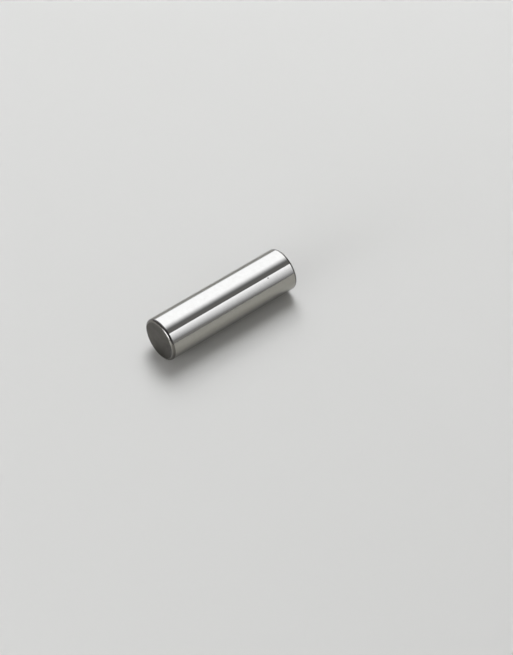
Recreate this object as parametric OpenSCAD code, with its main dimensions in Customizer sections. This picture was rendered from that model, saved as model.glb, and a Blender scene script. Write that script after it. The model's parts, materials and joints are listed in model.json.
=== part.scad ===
// Gudgeon pin: one solid piece of hardened steel, ground and polished round,
// with both end edges rounded so that it slides into the piston bosses without
// catching. It stands on one end: the axis is +Z, and the origin is the centre
// of the lower end face.

/* [Journal] */
// Outside diameter of the ground journal
pin_d = 5; // [3:0.05:12]
// Overall length, from end face to end face
pin_length = 17.35; // [8:0.05:40]

/* [Ends] */
// Radius that rounds each end's edge, from the journal into the flat end face
edge_radius = 0.3; // [0.05:0.01:0.8]

/* [Hidden] */

$fn = 128;
journal_r = pin_d / 2;
flat_r = journal_r - edge_radius;
journal_length = pin_length - 2 * edge_radius;
edge_centres_z = [edge_radius, pin_length - edge_radius];

// Half section of the pin, with the axis along x = 0
module half_section() {
    // Core, as wide as the flat of each end face
    square([flat_r, pin_length]);
    // Journal, between the two rounded edges
    translate([0, edge_radius])
        square([journal_r, journal_length]);
    // Rounded edge at each end, tangent to the face and to the journal
    for (z = edge_centres_z)
        translate([flat_r, z])
            circle(r = edge_radius);
}

// The pin, turned from one bar
module gudgeon_pin() {
    color("silver")
        rotate_extrude()
            half_section();
}

gudgeon_pin();
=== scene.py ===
"""The gudgeon pin, dressed and lit for a still picture.

The pin stands on one end in its own frame, with its axis along +Z. The picture shows it lying on a pale
board, so the board is upright here and touches the pin from +Y, and the camera is turned to match. Angles
round the pin's axis start at +X and turn towards -Y, so 90 degrees is straight up from the board. Lengths are
in metres.
"""
import json
import logging
from dataclasses import dataclass
from enum import Enum, IntEnum

import bpy
import numpy as np
from mathutils import Matrix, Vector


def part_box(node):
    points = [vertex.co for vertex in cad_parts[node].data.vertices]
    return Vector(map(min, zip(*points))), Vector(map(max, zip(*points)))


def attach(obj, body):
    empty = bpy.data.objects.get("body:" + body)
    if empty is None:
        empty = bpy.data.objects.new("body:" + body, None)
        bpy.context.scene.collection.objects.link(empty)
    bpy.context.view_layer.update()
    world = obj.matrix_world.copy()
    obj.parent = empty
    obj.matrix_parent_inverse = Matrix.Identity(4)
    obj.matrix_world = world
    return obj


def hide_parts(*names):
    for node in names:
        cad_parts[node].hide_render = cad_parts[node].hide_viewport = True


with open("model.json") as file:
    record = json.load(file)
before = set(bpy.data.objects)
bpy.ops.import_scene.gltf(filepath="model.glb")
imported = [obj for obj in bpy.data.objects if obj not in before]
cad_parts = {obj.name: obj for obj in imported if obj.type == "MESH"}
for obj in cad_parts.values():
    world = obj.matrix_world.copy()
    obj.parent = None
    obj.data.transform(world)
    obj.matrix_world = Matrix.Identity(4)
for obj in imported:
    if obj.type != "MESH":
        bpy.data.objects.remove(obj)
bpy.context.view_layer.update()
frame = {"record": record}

MM = 0.001
NODE = "gudgeon_pin"
GLOW = "glow"  # vertex attribute of the lights
WEAR = "wear"  # vertex attribute of the pin
DAYLIGHT = "f2f5ff"
WAVE_PERIOD = np.pi / 10  # of the wave texture at a scale of 1
log = logging.getLogger("gudgeon_pin")


class Zone(IntEnum):
    """Finishes on the pin, numbered as its material slots."""

    JOURNAL = 0
    EDGE = 1
    FACE = 2


class Mix(IntEnum):
    """Sockets of a Mix node for colours, by number because their names repeat."""

    SHARE = 0
    FIRST = 6
    SECOND = 7
    RESULT = 2


class Fade(Enum):
    """How a light falls off towards its last angle."""

    EVEN = "even"
    SOFT = "soft"


class Reach(Enum):
    """What a light of the stage reaches, so that reflections and shadows are placed apart."""

    ALL = "all"
    METAL = "metal"
    PAINT = "paint"


def linear(hex_colour: str) -> tuple[float, float, float, float]:
    """Turns a colour written as six sRGB hex digits into linear light.

    Args:
        hex_colour: The digits, such as "c8c6c0".

    Returns:
        Red, green, blue and an alpha of 1.
    """
    levels = np.array([int(hex_colour[i : i + 2], 16) for i in (0, 2, 4)]) / 255
    light = np.where(levels <= 0.04045, levels / 12.92, ((levels + 0.055) / 1.055) ** 2.4)
    return (*light.tolist(), 1.0)


def add_node(
    tree: bpy.types.NodeTree, kind: str, inputs: dict[str | int, object] | None = None, **settings: object
) -> bpy.types.Node:
    """Adds a node, sets its properties and fills its input sockets.

    Args:
        tree: The node tree that takes the node.
        kind: Type name of the node.
        inputs: A value to set or an output socket to link, for each input socket's name or number.
        settings: Properties of the node itself.

    Returns:
        The new node.
    """
    node = tree.nodes.new(kind)
    for name, value in settings.items():
        setattr(node, name, value)
    for socket, value in (inputs or {}).items():
        if isinstance(value, bpy.types.NodeSocket):
            tree.links.new(value, node.inputs[socket])
        else:
            node.inputs[socket].default_value = value
    return node


def new_material(name: str) -> tuple[bpy.types.Material, bpy.types.NodeTree]:
    """Makes a material with an empty node tree.

    Args:
        name: The material's name.

    Returns:
        The material and its node tree.
    """
    material = bpy.data.materials.new(name)
    material.use_nodes = True
    material.node_tree.nodes.clear()
    return material, material.node_tree


def add_object(name: str, points: np.ndarray, faces: list[list[int]]) -> bpy.types.Object:
    """Makes a smooth mesh object at the origin and links it to the scene.

    Args:
        name: The object's name.
        points: One row of x, y and z for each vertex.
        faces: Vertex numbers of each face, anticlockwise as seen from outside.

    Returns:
        The new object.
    """
    mesh = bpy.data.meshes.new(name)
    mesh.from_pydata(points.tolist(), [], faces)
    mesh.polygons.foreach_set("use_smooth", np.ones(len(faces), dtype=bool))
    mesh.update()
    piece = bpy.data.objects.new(name, mesh)
    bpy.context.scene.collection.objects.link(piece)
    return piece


def grid_quads(rows: int, columns: int, closed: bool) -> np.ndarray:
    """Numbers the quads of a grid whose vertices run along each row in turn.

    Args:
        rows: Rows of vertices.
        columns: Vertices in a row.
        closed: Whether the last column joins the first.

    Returns:
        Four vertex numbers for each quad: along the row, then on to the next row.
    """
    row = np.arange(rows - 1)[:, None] * columns
    left = np.arange(columns if closed else columns - 1)[None, :]
    right = (left + 1) % columns
    corners = (row + left, row + right, row + columns + right, row + columns + left)
    return np.stack(corners, axis=-1).reshape(-1, 4)


def ease(part: np.ndarray) -> np.ndarray:
    """Smooth step from 0 to 1: 3 t^2 - 2 t^3, with t held between 0 and 1."""
    t = np.clip(part, 0.0, 1.0)
    return t * t * (3 - 2 * t)


@dataclass(frozen=True)
class GroundSteel:
    """Case-hardened steel, centreless ground and lapped: a mirror with a fine lay round the pin.

    The eye sees sharp, slightly warm reflections. The lay shows as faint hoops that scatter a little more,
    the lapping as a faint mottle, and a small nick as one dark speck.
    """

    nick: tuple[float, float, float]
    nick_size: float = 0.13 * MM
    nick_depth: float = 0.005 * MM
    nick_tint: str = "5a5854"
    bright: str = "a9a7a0"
    dull: str = "a19f98"
    edge_tint: str = "d8d8d8"
    smooth: float = 0.05
    hazy: float = 0.1
    lay_pitch: float = 0.22 * MM  # real lay is about 0.02 mm, drawn coarser so that it shows
    lay_run: float = 5 * MM
    patch: float = 0.45 * MM
    lobe_width: float = 1.6 * MM
    lobe_depth: float = 0.004 * MM  # real lobing is under 0.001 mm, drawn deeper so that it shows
    anisotropy: float = 0.3
    gloss_turn: float = 0.25  # of a full turn: hoops draw the gloss out along the pin

    def material(self) -> bpy.types.Material:
        """Builds the finish.

        Returns:
            The material.
        """
        material, tree = new_material("ground_lapped_steel")
        place = add_node(tree, "ShaderNodeTexCoord").outputs["Object"]
        squeeze = (1 / self.lay_run, 1 / self.lay_run, 1 / self.lay_pitch)
        hoops = add_node(tree, "ShaderNodeMapping", {"Vector": place, "Scale": squeeze}).outputs["Vector"]
        lay = add_node(
            tree, "ShaderNodeTexNoise", {"Vector": hoops, "Scale": 1.0, "Detail": 3.0}
        ).outputs["Fac"]
        clouds = add_node(
            tree, "ShaderNodeTexNoise", {"Vector": place, "Scale": 1 / self.patch, "Detail": 4.0}
        ).outputs["Fac"]
        lobes = add_node(
            tree, "ShaderNodeTexNoise", {"Vector": place, "Scale": 1 / self.lobe_width, "Detail": 1.0}
        ).outputs["Fac"]
        haze = add_node(
            tree,
            "ShaderNodeMapRange",
            {"Value": lay, "From Min": 0.35, "From Max": 0.7, "To Min": self.smooth, "To Max": self.hazy},
        ).outputs["Result"]
        tint = add_node(
            tree,
            "ShaderNodeMix",
            {Mix.SHARE: clouds, Mix.FIRST: linear(self.bright), Mix.SECOND: linear(self.dull)},
            data_type="RGBA",
        ).outputs[Mix.RESULT]
        speck = add_node(
            tree,
            "ShaderNodeMapping",
            {
                "Vector": place,
                "Location": tuple(-c / self.nick_size for c in self.nick),
                "Scale": (1 / self.nick_size,) * 3,
            },
        ).outputs["Vector"]
        nick = add_node(
            tree, "ShaderNodeTexGradient", {"Vector": speck}, gradient_type="SPHERICAL"
        ).outputs["Fac"]
        marked = add_node(
            tree,
            "ShaderNodeMix",
            {Mix.SHARE: nick, Mix.FIRST: tint, Mix.SECOND: linear(self.nick_tint)},
            data_type="RGBA",
        ).outputs[Mix.RESULT]
        round_bump = add_node(
            tree, "ShaderNodeBump", {"Height": lobes, "Strength": 1.0, "Distance": self.lobe_depth}
        ).outputs["Normal"]
        bump = add_node(
            tree,
            "ShaderNodeBump",
            {"Height": nick, "Strength": 1.0, "Distance": self.nick_depth, "Normal": round_bump},
            invert=True,
        ).outputs["Normal"]
        tangent = add_node(tree, "ShaderNodeTangent", direction_type="RADIAL", axis="Z").outputs["Tangent"]
        shader = add_node(
            tree,
            "ShaderNodeBsdfPrincipled",
            {
                "Base Color": marked,
                "Metallic": 1.0,
                "Roughness": haze,
                "Specular Tint": linear(self.edge_tint),
                "Anisotropic": self.anisotropy,
                "Anisotropic Rotation": self.gloss_turn,
                "Tangent": tangent,
                "Normal": bump,
            },
        )
        add_node(tree, "ShaderNodeOutputMaterial", {"Surface": shader.outputs["BSDF"]})
        return material


@dataclass(frozen=True)
class ScaledSteel:
    """Steel left dark by hardening: it was never ground, so it keeps a thin grey scale.

    The eye sees a satin dark grey, with cloudy patches and faint turned rings about the centre. Where the
    mesh's wear attribute says so, the scale is rubbed through to the worn tint.
    """

    name: str
    light: str
    dark: str
    worn: str
    smooth: float
    rough: float
    ring_pitch: float = 0.2 * MM
    ring_depth: float = 0.001 * MM
    patch: float = 0.9 * MM

    def material(self) -> bpy.types.Material:
        """Builds the finish.

        Returns:
            The material.
        """
        material, tree = new_material(self.name)
        place = add_node(tree, "ShaderNodeTexCoord").outputs["Object"]
        clouds = add_node(
            tree, "ShaderNodeTexNoise", {"Vector": place, "Scale": 1 / self.patch, "Detail": 5.0}
        ).outputs["Fac"]
        rings = add_node(
            tree,
            "ShaderNodeTexWave",
            {"Vector": place, "Scale": WAVE_PERIOD / self.ring_pitch, "Distortion": 0.0},
            wave_type="RINGS",
            rings_direction="Z",
        ).outputs["Fac"]
        tint = add_node(
            tree,
            "ShaderNodeMix",
            {Mix.SHARE: clouds, Mix.FIRST: linear(self.light), Mix.SECOND: linear(self.dark)},
            data_type="RGBA",
        ).outputs[Mix.RESULT]
        wear = add_node(tree, "ShaderNodeAttribute", attribute_name=WEAR).outputs["Fac"]
        rubbed = add_node(
            tree,
            "ShaderNodeMix",
            {Mix.SHARE: wear, Mix.FIRST: tint, Mix.SECOND: linear(self.worn)},
            data_type="RGBA",
        ).outputs[Mix.RESULT]
        haze = add_node(
            tree,
            "ShaderNodeMapRange",
            {"Value": clouds, "From Min": 0.3, "From Max": 0.7, "To Min": self.smooth, "To Max": self.rough},
        ).outputs["Result"]
        bump = add_node(
            tree, "ShaderNodeBump", {"Height": rings, "Strength": 1.0, "Distance": self.ring_depth}
        ).outputs["Normal"]
        shader = add_node(
            tree,
            "ShaderNodeBsdfPrincipled",
            {"Base Color": rubbed, "Metallic": 1.0, "Roughness": haze, "Normal": bump},
        )
        add_node(tree, "ShaderNodeOutputMaterial", {"Surface": shader.outputs["BSDF"]})
        return material


@dataclass(frozen=True)
class GudgeonPin:
    """The pin: one turned piece, with a ground journal between two rounded ends.

    Each rub is the middle and the width of a stretch of the rounding, in degrees, and how far the scale is
    rubbed there. A negative rub is a stretch where the scale is more whole than elsewhere. The rubbing starts
    and is full where the normal's slope towards the axis has the values rub_starts and rub_full.
    """

    radius: float
    length: float
    edge_radius: float
    nick_angle: float = 130.0
    nick_height: float = 3.5 * MM
    rubbed_all_round: float = 0.3
    rubs: tuple[tuple[float, float, float], ...] = ((148, 9, 0.8), (255, 22, 0.5), (30, 60, -0.3))
    rub_starts: float = 0.6
    rub_full: float = 0.95
    segments: int = 360
    face_rings: int = 6
    edge_rings: int = 20
    journal_rings: int = 24

    @classmethod
    def from_frame(cls) -> "GudgeonPin":
        """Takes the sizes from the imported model.

        Returns:
            The pin, at its real size.
        """
        low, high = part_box(NODE)
        journal = next(m for m in frame["record"]["mounts"] if m["name"] == "journal")
        length = high[2] - low[2]
        return cls(
            radius=journal["dims"]["r_mm"] * MM,
            length=length,
            edge_radius=(length - journal["dims"]["length_mm"] * MM) / 2,
        )

    @property
    def turn(self) -> np.ndarray:
        """Angle of each vertex on a ring, in radians from +X towards +Y."""
        return np.arange(self.segments) * 2 * np.pi / self.segments

    def end_profile(self) -> np.ndarray:
        """Half section of the lower end, from beside the axis to the start of the journal.

        The face is flat out to radius minus edge radius. The edge is a quarter circle of the radius r: at the
        angle t it is the flat's radius plus r sin t out, and r - r cos t up. Its normal is (sin t, -cos t).

        Returns:
            One row for each ring: distance from the axis, height, and the normal's two parts.
        """
        flat = self.radius - self.edge_radius
        out = np.linspace(0, flat, self.face_rings + 1)[1:-1]
        face = np.stack([out, 0 * out, 0 * out, 0 * out - 1], axis=1)
        t = np.linspace(0, np.pi / 2, self.edge_rings + 1)
        sine, cosine = np.sin(t), np.cos(t)
        out, up = flat + self.edge_radius * sine, self.edge_radius * (1 - cosine)
        edge = np.stack([out, up, sine, -cosine], axis=1)
        return np.concatenate([face, edge])

    def profile(self) -> tuple[np.ndarray, np.ndarray]:
        """Half section of the whole pin, from the lower face to the upper one.

        The upper end is the lower one turned over: height becomes length minus height.

        Returns:
            The rings, as in end_profile, and the zone of each band between two rings.
        """
        lower = self.end_profile()
        upper = lower[::-1] * [1, -1, 1, -1] + [0, self.length, 0, 0]
        height = np.linspace(lower[-1, 1], upper[0, 1], self.journal_rings + 1)[1:-1]
        journal = np.stack([0 * height + self.radius, height, 0 * height + 1, 0 * height], axis=1)
        rings = np.concatenate([lower, journal, upper])
        zones = np.full(len(rings) - 1, Zone.EDGE)
        zones[: self.face_rings - 1] = Zone.FACE
        zones[1 - self.face_rings :] = Zone.FACE
        zones[len(lower) - 1 : len(rings) - len(upper)] = Zone.JOURNAL
        return rings, zones

    def wear(self, rings: np.ndarray) -> np.ndarray:
        """How far the scale is rubbed off each rounding, on the half of it next to the face.

        Along the rounding it is a smooth step of the normal's slope towards the axis. Round the axis it is a
        constant plus one bell for each rub: strength times exp(-((angle - middle) / width)^2).

        Args:
            rings: The half section, as profile gives it.

        Returns:
            A share from 0 to 1 for each vertex of the rings.
        """
        slope = np.abs(rings[:, 3])
        along = ease((slope - self.rub_starts) / (self.rub_full - self.rub_starts))
        middle, width, strength = np.array(self.rubs).T[..., None]
        away = (-np.degrees(self.turn) - middle + 180) % 360 - 180
        around = self.rubbed_all_round + (strength * np.exp(-((away / width) ** 2))).sum(axis=0)
        return np.clip(along[:, None] * around, 0, 1).reshape(-1)

    def revolve(self, out: np.ndarray, up: np.ndarray) -> np.ndarray:
        """Carries the rings round the axis: (out cos a, out sin a, up), for the angle a of each vertex.

        Args:
            out: Part of each ring that points away from the axis.
            up: Part of each ring that points along the axis.

        Returns:
            One row of x, y and z for each vertex, ring by ring.
        """
        around = np.stack([np.cos(self.turn), np.sin(self.turn)], axis=1)
        flat = out[:, None, None] * around
        high = np.broadcast_to(up[:, None, None], (*flat.shape[:2], 1))
        return np.concatenate([flat, high], axis=2).reshape(-1, 3)

    def shape(self, rings: np.ndarray) -> bpy.types.Object:
        """Turns the half section about the axis and closes each face at a pole.

        Args:
            rings: The half section, as profile gives it.

        Returns:
            The bare piece.
        """
        points = np.concatenate([self.revolve(rings[:, 0], rings[:, 1]), [[0, 0, 0], [0, 0, self.length]]])
        normals = np.concatenate([self.revolve(rings[:, 2], rings[:, 3]), [[0, 0, -1], [0, 0, 1]]])
        first = np.arange(self.segments)
        following = np.roll(first, -1)
        last = (len(rings) - 1) * self.segments
        low_pole = np.full(self.segments, len(points) - 2)
        low_cap = np.stack([low_pole, following, first], axis=1)
        high_cap = np.stack([low_pole + 1, last + first, last + following], axis=1)
        quads = grid_quads(len(rings), self.segments, closed=True)
        piece = add_object("polished_pin", points, [*quads.tolist(), *low_cap.tolist(), *high_cap.tolist()])
        piece.data.normals_split_custom_set_from_vertices(normals.tolist())
        return piece

    def finishes(self) -> dict[Zone, GroundSteel | ScaledSteel]:
        """Finish of each zone, with the nick at its place on the journal.

        Returns:
            The finishes.
        """
        a = np.radians(self.nick_angle)
        nick = (self.radius * np.cos(a), -self.radius * np.sin(a), self.nick_height)
        return {
            Zone.JOURNAL: GroundSteel(nick),
            Zone.EDGE: ScaledSteel(
                "hardened_tumbled_steel", light="787570", dark="6a6762", worn="b4b2ab", smooth=0.14, rough=0.2
            ),
            Zone.FACE: ScaledSteel(
                "hardened_turned_steel", light="53504a", dark="484540", worn="53504a", smooth=0.29, rough=0.39
            ),
        }

    def dress(self, piece: bpy.types.Object, rings: np.ndarray, zones: np.ndarray) -> None:
        """Gives each zone its finish, and the roundings their wear.

        Args:
            piece: The bare piece, with its two poles as its last vertices and its caps as its last faces.
            rings: The half section, as profile gives it.
            zones: The zone of each band between two rings.
        """
        wear = np.append(self.wear(rings), [0.0, 0.0]).astype(np.float32)
        piece.data.attributes.new(WEAR, "FLOAT", "POINT").data.foreach_set("value", wear)
        finishes = self.finishes()
        for zone in Zone:
            piece.data.materials.append(finishes[zone].material())
        caps = np.full(2 * self.segments, Zone.FACE)
        slots = np.concatenate([np.repeat(zones, self.segments), caps])
        piece.data.polygons.foreach_set("material_index", slots.astype(np.int32))

    def build(self) -> bpy.types.Object:
        """Makes the pin, dresses it and puts it in the place of the solid.

        Returns:
            The finished piece.
        """
        rings, zones = self.profile()
        piece = self.shape(rings)
        self.dress(piece, rings, zones)
        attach(piece, "root")
        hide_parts(NODE)
        return piece


@dataclass(frozen=True)
class Glow:
    """Diffuser cloth or white card that gives off light, as strong as the mesh's glow attribute says.

    The eye sees it only as a reflection in the metal, or as light on the paint. A light for the metal alone
    gives none to a path that the paint has scattered before. A light that isn't sampled is too dim to need
    it, and a clear one lets through what stands behind it and adds its light to that.
    """

    colour: str
    reach: Reach = Reach.ALL
    sampled: bool = True
    clear: bool = False

    def material(self, name: str) -> bpy.types.Material:
        """Builds the light's material.

        Args:
            name: The material's name.

        Returns:
            The material.
        """
        material, tree = new_material(name)
        level = add_node(tree, "ShaderNodeAttribute", attribute_name=GLOW).outputs["Fac"]
        if self.reach is Reach.METAL:
            scattered = add_node(tree, "ShaderNodeLightPath").outputs["Diffuse Depth"]
            straight = add_node(tree, "ShaderNodeMath", {0: scattered, 1: 0.5}, operation="LESS_THAN")
            factors = {0: level, 1: straight.outputs["Value"]}
            level = add_node(tree, "ShaderNodeMath", factors, operation="MULTIPLY").outputs["Value"]
        lamp = add_node(tree, "ShaderNodeEmission", {"Color": linear(self.colour), "Strength": level})
        surface = lamp.outputs["Emission"]
        if self.clear:
            behind = add_node(tree, "ShaderNodeBsdfTransparent").outputs["BSDF"]
            surface = add_node(tree, "ShaderNodeAddShader", {0: surface, 1: behind}).outputs["Shader"]
        add_node(tree, "ShaderNodeOutputMaterial", {"Surface": surface})
        material.cycles.emission_sampling = "AUTO" if self.sampled else "NONE"
        return material

    def sheet(self, name: str, points: np.ndarray, strength: np.ndarray) -> bpy.types.Object:
        """Makes a glowing sheet of the stage, which the camera doesn't see.

        Args:
            name: Name of the sheet and of its material.
            points: A grid of x, y and z.
            strength: Strength of the light at each point of the grid.

        Returns:
            The sheet.
        """
        quads = grid_quads(*points.shape[:2], closed=False)
        sheet = add_object(name, points.reshape(-1, 3), quads.tolist())
        values = strength.reshape(-1).astype(np.float32)
        sheet.data.attributes.new(GLOW, "FLOAT", "POINT").data.foreach_set("value", values)
        sheet.data.materials.append(self.material(name))
        sheet.visible_camera = False
        sheet.visible_shadow = self.reach is Reach.ALL
        sheet.visible_diffuse = self.reach is not Reach.METAL
        sheet.visible_glossy = self.reach is not Reach.PAINT
        return sheet


@dataclass(frozen=True)
class Softbox:
    """A curved diffuser round the pin's axis.

    Angles are in degrees. From the first angle to the last the light rises over the share fade_in of the
    width and falls over the share fade_out, and at both edges its level is dim. Along the axis it is full
    over the core, and beyond that it falls over the length soft to the share spill. The last angle changes by
    lean from the low edge to the high one.
    """

    name: str
    distance: float
    first: float
    last: float
    fade_in: float
    fade_out: float
    low: float
    high: float
    core_low: float
    core_high: float
    soft: float
    level: float
    dim: float
    reach: Reach
    fade: Fade = Fade.SOFT
    lean: float = 0.0
    spill: float = 0.2
    columns: int = 65
    rows: int = 49

    def build(self) -> bpy.types.Object:
        """Bends the sheet: at the angle a and height h it is (d cos a, -d sin a, h), for the distance d.

        Returns:
            The sheet.
        """
        parts = np.linspace(0, 1, self.columns)
        part, height = np.meshgrid(parts, np.linspace(self.low, self.high, self.rows))
        last = self.last + self.lean * (height - self.low) / (self.high - self.low)
        a = np.radians(self.first + (last - self.first) * part)
        points = np.stack([self.distance * np.cos(a), -self.distance * np.sin(a), height], axis=-1)
        fall = (1 - part) / self.fade_out
        across = ease(part / self.fade_in) * (ease(fall) if self.fade is Fade.SOFT else np.clip(fall, 0, 1))
        past = np.maximum(self.core_low - height, height - self.core_high)
        along = 1 - (1 - self.spill) * ease(past / self.soft)
        strength = self.dim + np.maximum(self.level * along - self.dim, 0) * across
        return Glow(DAYLIGHT, self.reach).sheet(self.name, points, strength)


@dataclass(frozen=True)
class Panel:
    """A flat light, even over its middle and soft towards its edges.

    The soft shares are of each half of its width and height.
    """

    name: str
    middle: np.ndarray
    half_width: np.ndarray
    half_height: np.ndarray
    level: float
    reach: Reach
    soft_width: float = 0.5
    soft_height: float = 0.5
    clear: bool = False
    columns: int = 33

    def build(self) -> bpy.types.Object:
        """Lays a grid over the panel: middle + u half_width + v half_height, for u and v from -1 to 1.

        Returns:
            The sheet.
        """
        steps = np.linspace(-1, 1, self.columns)
        u, v = np.meshgrid(steps, steps)
        points = self.middle + u[..., None] * self.half_width + v[..., None] * self.half_height
        across = ease((1 - np.abs(u)) / self.soft_width)
        along = ease((1 - np.abs(v)) / self.soft_height)
        glow = Glow(DAYLIGHT, self.reach, sampled=not self.clear, clear=self.clear)
        return glow.sheet(self.name, points, self.level * across * along)


@dataclass(frozen=True)
class DarkTent:
    """A dim cloth half dome over the board, with a dark opening that the camera looks through.

    The opening is the direction of its middle, and it turns into cloth from the inner angle off that to the
    outer one. The cloth gets lighter on the side where X of its direction goes from side_from to side_to.
    """

    opening: np.ndarray
    distance: float = 1.0
    colour: str = "fafaff"
    level: float = 0.29
    side_level: float = 0.43
    side_from: float = -0.7
    side_to: float = -0.95
    opening_level: float = 0.08
    opening_inner: float = 20.0
    opening_outer: float = 50.0
    columns: int = 49
    rows: int = 45

    def build(self) -> bpy.types.Object:
        """Shapes the dome: (cos e cos a, -cos e sin a, sin e) times its distance, for the angles a and e.

        Returns:
            The dome.
        """
        turns = np.linspace(0, np.pi, self.columns)
        a, e = np.meshgrid(turns, np.linspace(-np.pi / 2, np.pi / 2, self.rows))
        way = np.stack([np.cos(e) * np.cos(a), -np.cos(e) * np.sin(a), np.sin(e)], axis=-1)
        aside = np.degrees(np.arccos(np.clip(way @ self.opening, -1, 1)))
        cloth = ease((aside - self.opening_inner) / (self.opening_outer - self.opening_inner))
        side = ease((way[..., 0] - self.side_from) / (self.side_to - self.side_from))
        lit = self.level + (self.side_level - self.level) * side
        strength = self.opening_level + (lit - self.opening_level) * cloth
        return Glow(self.colour, sampled=False).sheet("dark_tent", self.distance * way, strength)


@dataclass(frozen=True)
class Board:
    """The pale board that the pin lies against. It shows only from the side that the pin is on.

    Its rolled matt paint gives the eye an even pale grey with no gloss, on which a soft shadow shows.
    """

    touch: float
    half: float = 1.1
    gap: float = 0.002 * MM
    colour: str = "dad8cf"

    def build(self) -> bpy.types.Object:
        """Makes the board and its matt paint.

        Returns:
            The board.
        """
        y = self.touch + self.gap
        points = np.array([(x, y, z) for z in (-self.half, self.half) for x in (-self.half, self.half)])
        board = add_object("pale_board", points, grid_quads(2, 2, closed=False).tolist())
        material, tree = new_material("pale_matt_paint")
        behind = add_node(tree, "ShaderNodeNewGeometry").outputs["Backfacing"]
        paint = add_node(tree, "ShaderNodeBsdfDiffuse", {"Color": linear(self.colour)}).outputs["BSDF"]
        clear = add_node(tree, "ShaderNodeBsdfTransparent").outputs["BSDF"]
        one_sided = add_node(tree, "ShaderNodeMixShader", {0: behind, 1: paint, 2: clear})
        add_node(tree, "ShaderNodeOutputMaterial", {"Surface": one_sided.outputs["Shader"]})
        board.data.materials.append(material)
        return board


@dataclass(frozen=True)
class PhotoCamera:
    """The camera, where the photograph's perspective puts it.

    The elevation is above the board, and the azimuth turns from the pin's side at -X towards its upper end,
    both in degrees. The pixels are of the photograph, which is 513 wide and 655 high.
    """

    pin: GudgeonPin
    elevation: float = 46.0
    azimuth: float = 39.58
    pixels_per_diameter: float = 45.80
    diameters_away: float = 43.8
    pin_pixel: tuple[float, float] = (221.66, 303.41)
    middle_pixel: tuple[float, float] = (256.0, 327.0)
    long_side: int = 655
    sensor: float = 36.0
    nearest: float = 10 * MM

    def axes(self) -> np.ndarray:
        """Directions of the picture in the pin's frame.

        Returns:
            One row each: to the picture's right, up it, and back towards the camera.
        """
        e, a = np.radians(self.elevation), np.radians(self.azimuth)
        right = [-np.sin(a), 0, -np.cos(a)]
        up = [np.cos(a) * np.sin(e), -np.cos(e), -np.sin(a) * np.sin(e)]
        back = [-np.cos(a) * np.cos(e), -np.sin(e), np.sin(a) * np.cos(e)]
        return np.array([right, up, back])

    def build(self) -> bpy.types.Object:
        """Places the camera so that the pin's middle falls on its pixel.

        Returns:
            The camera.
        """
        right, up, back = self.axes()
        diameter = 2 * self.pin.radius
        across, down = (np.array(self.pin_pixel) - self.middle_pixel) / self.pixels_per_diameter * diameter
        middle = np.array([0, 0, self.pin.length / 2])
        place = middle - across * right + down * up + self.diameters_away * diameter * back
        data = bpy.data.cameras.new("photo_camera")
        data.sensor_width = self.sensor
        data.lens = self.sensor * self.pixels_per_diameter * self.diameters_away / self.long_side
        data.clip_start = self.nearest
        camera = bpy.data.objects.new("photo_camera", data)
        columns = np.column_stack([right, up, back, place])
        camera.matrix_world = Matrix([*columns.tolist(), [0, 0, 0, 1]])
        bpy.context.scene.collection.objects.link(camera)
        bpy.context.scene.camera = camera
        return camera


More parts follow.
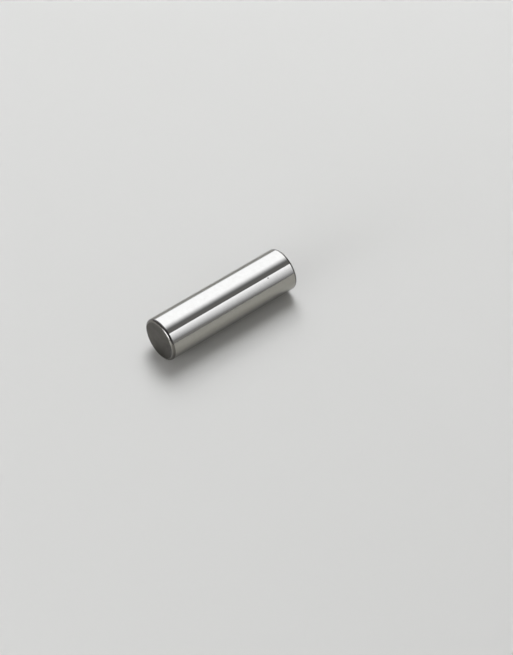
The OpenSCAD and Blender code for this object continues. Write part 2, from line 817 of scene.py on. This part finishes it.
@dataclass(frozen=True)
class Studio:
    """Board, tent and soft lights round the pin.

    The lights for the metal place its reflections, and those for the paint place the shadow on the board.
    """

    pin: GudgeonPin
    camera: PhotoCamera
    background: str = "e4e5e6"

    def surroundings(self) -> None:
        """Sets the view transform, and the pale world that shows past the board."""
        scene = bpy.context.scene
        scene.view_settings.view_transform = "Standard"
        world = bpy.data.worlds.new("pale_surroundings")
        world.use_nodes = True
        tree = world.node_tree
        tree.nodes.clear()
        sky = add_node(tree, "ShaderNodeBackground", {"Color": linear(self.background), "Strength": 1.0})
        add_node(tree, "ShaderNodeOutputWorld", {"Surface": sky.outputs["Background"]})
        scene.world = world

    def board_glow(
        self,
        name: str,
        across: tuple[float, float],
        along: tuple[float, float],
        level: float,
        soft: float,
        below: float,
    ) -> Panel:
        """Clear light laid over the board, which shows only in what the pin reflects of the board.

        Args:
            name: The panel's name.
            across: Where it starts and ends along X.
            along: Where it starts and ends along Z.
            level: Its strength in the middle.
            soft: Share of each half of its length that is soft.
            below: How far it lies below the pin, which differs so that no two panels coincide.

        Returns:
            The panel.
        """
        (first, last), (low, high) = across, along
        return Panel(
            name,
            middle=np.array([(first + last) / 2, self.pin.radius + below, (low + high) / 2]),
            half_width=np.array([(last - first) / 2, 0, 0]),
            half_height=np.array([0, 0, (high - low) / 2]),
            level=level,
            reach=Reach.METAL,
            soft_width=1.0,
            soft_height=soft,
            clear=True,
        )

    def softboxes(self, tent: DarkTent) -> tuple[Softbox, ...]:
        """The curved lights: the long white band, the key on the board, and the band on the pin's side.

        Args:
            tent: The tent, whose cloth two of the lights fade into.

        Returns:
            The lights.
        """
        return (
            Softbox(
                "back_softbox",
                distance=0.4,
                first=-0.3,
                last=106,
                fade_in=0.113,
                fade_out=0.32,
                low=-0.7,
                high=0.12,
                core_low=-0.31,
                core_high=-0.085,
                soft=0.1,
                level=2.86,
                dim=tent.level,
                reach=Reach.METAL,
            ),
            Softbox(
                "key_softbox",
                distance=0.55,
                first=21,
                last=93.5,
                fade_in=0.4,
                fade_out=0.31,
                low=-0.47,
                high=0.03,
                core_low=-0.23,
                core_high=-0.21,
                soft=0.25,
                level=10.2,
                dim=0,
                reach=Reach.PAINT,
                spill=0,
            ),
            Softbox(
                "side_card",
                distance=0.06,
                first=124,
                last=193,
                fade_in=0.02,
                fade_out=0.96,
                low=-0.066,
                high=0.004,
                core_low=-0.036,
                core_high=-0.004,
                soft=0.006,
                level=2.82,
                dim=tent.side_level,
                reach=Reach.METAL,
                fade=Fade.EVEN,
                lean=-33.5,
            ),
        )

    def panels(self) -> tuple[Panel, ...]:
        """The flat lights: one before the near end, a fill by the camera, and the glows on the board.

        Returns:
            The lights.
        """
        right, up, _ = self.camera.axes()
        end = self.pin.length
        past_far_end = -8 * MM
        return (
            Panel(
                "front_panel",
                middle=np.array([-0.01, 0, 0.4]),
                half_width=np.array([0.145, 0, 0]),
                half_height=np.array([0, -0.19, 0]),
                level=8.8,
                reach=Reach.ALL,
            ),
            Panel(
                "fill_panel",
                middle=np.array([-0.073, -0.061, 0.161]),
                half_width=0.06 * right,
                half_height=0.06 * up,
                level=1.8,
                reach=Reach.PAINT,
            ),
            self.board_glow(
                "underside_glow",
                across=(-1.2 * MM, 4.9 * MM),
                along=(past_far_end, end),
                level=1.4,
                soft=0.07,
                below=0.001 * MM,
            ),
            self.board_glow(
                "shadow_glow",
                across=(-5.4 * MM, -0.6 * MM),
                along=(past_far_end, end),
                level=0.12,
                soft=0.07,
                below=0.0005 * MM,
            ),
            self.board_glow(
                "face_glow",
                across=(-3 * MM, 1.4 * MM),
                along=(end + 0.2 * MM, end + 2.4 * MM),
                level=0.34,
                soft=1.0,
                below=0.001 * MM,
            ),
        )

    def build(self) -> list[bpy.types.Object]:
        """Sets up the stage and the pale surroundings.

        Returns:
            The stage's objects.
        """
        self.surroundings()
        _, _, back = self.camera.axes()
        tent = DarkTent(opening=back)
        parts = (Board(self.pin.radius), tent, *self.softboxes(tent), *self.panels())
        return [part.build() for part in parts]


def main() -> None:
    """Builds the pin, the camera and the stage."""
    logging.basicConfig(level=logging.INFO, format="%(name)s: %(message)s")
    pin = GudgeonPin.from_frame()
    piece = pin.build()
    log.info("%s: %d faces", piece.name, len(piece.data.polygons))
    camera = PhotoCamera(pin)
    log.info("camera: %s", camera.build().name)
    for part in Studio(pin, camera).build():
        log.info("stage: %s", part.name)


if __name__ == "__main__":
    main()
